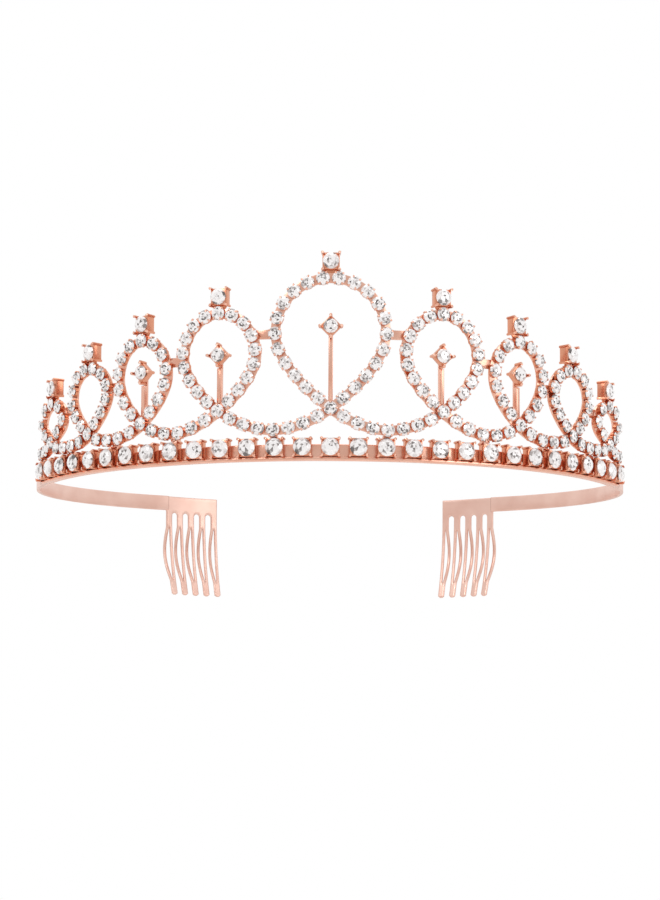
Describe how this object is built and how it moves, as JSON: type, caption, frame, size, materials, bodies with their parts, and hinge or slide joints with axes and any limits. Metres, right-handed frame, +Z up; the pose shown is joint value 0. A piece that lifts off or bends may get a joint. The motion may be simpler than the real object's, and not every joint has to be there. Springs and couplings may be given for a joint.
{
  "type": "bridal tiara",
  "caption": "Curved tiara of stone-set loops above a stone-set row, on a springy rose gold band ending in two hair combs.",
  "frame": {"origin": "centre of the circle that the band follows round the head, level with the band's lower edge at the front", "axes": "+Z up; the front of the tiara faces -Y; +X along the width, from its left end to its right end as seen from the front"},
  "size_m": [0.1352, 0.1334, 0.0628],
  "materials": {
    "rose_gold": "polished rose gold plating",
    "satin_rose_gold": "satin rose gold plating",
    "crystal": "cut clear crystal with a silver foil back"
  },
  "bodies": {
    "crown": {"band_front": "satin_rose_gold", "base_cups": "rose_gold", "base_ledge": "rose_gold", "base_stones": "crystal", "crossing_cups": "rose_gold", "crossing_stones": "crystal", "finial_cups": "rose_gold", "finial_stones": "crystal", "head_cups": "rose_gold", "head_stones": "crystal", "loop_bridges": "rose_gold", "loop_cups_centre": "rose_gold", "loop_cups_end_left": "rose_gold", "loop_cups_end_right": "rose_gold", "loop_cups_inner_left": "rose_gold", "loop_cups_inner_right": "rose_gold", "loop_cups_middle_left": "rose_gold", "loop_cups_middle_right": "rose_gold", "loop_cups_outer_left": "rose_gold", "loop_cups_outer_right": "rose_gold", "loop_frame_centre": "rose_gold", "loop_frame_end_left": "rose_gold", "loop_frame_end_right": "rose_gold", "loop_frame_inner_left": "rose_gold", "loop_frame_inner_right": "rose_gold", "loop_frame_middle_left": "rose_gold", "loop_frame_middle_right": "rose_gold", "loop_frame_outer_left": "rose_gold", "loop_frame_outer_right": "rose_gold", "loop_stones_centre": "crystal", "loop_stones_end_left": "crystal", "loop_stones_end_right": "crystal", "loop_stones_inner_left": "crystal", "loop_stones_inner_right": "crystal", "loop_stones_middle_left": "crystal", "loop_stones_middle_right": "crystal", "loop_stones_outer_left": "crystal", "loop_stones_outer_right": "crystal", "stems": "rose_gold", "swag_cups_left": "rose_gold", "swag_cups_right": "rose_gold", "swag_feet": "rose_gold", "swag_frame_end_left": "rose_gold", "swag_frame_end_right": "rose_gold", "swag_frame_inner_left": "rose_gold", "swag_frame_inner_right": "rose_gold", "swag_frame_middle_left": "rose_gold", "swag_frame_middle_right": "rose_gold", "swag_frame_outer_left": "rose_gold", "swag_frame_outer_right": "rose_gold", "swag_stones_left": "crystal", "swag_stones_right": "crystal", "tail_frame_left": "rose_gold", "tail_frame_right": "rose_gold"},
    "arm_left": {"arm_left": "satin_rose_gold", "comb_left": "satin_rose_gold"},
    "arm_right": {"arm_right": "satin_rose_gold", "comb_right": "satin_rose_gold"}
  },
  "joints": [
    {"name": "arm_left_flex", "type": "hinge", "parent": "crown", "child": "arm_left", "pos_m": [-0.06666, -0.00924, 0.002], "axis": [0, 0, 1], "range_deg": [-4, 12], "stiffness_Nm_per_rad": 0.54},
    {"name": "arm_right_flex", "type": "hinge", "parent": "crown", "child": "arm_right", "pos_m": [0.06666, -0.00924, 0.002], "axis": [0, 0, -1], "range_deg": [-4, 12], "stiffness_Nm_per_rad": 0.54}
  ]
}
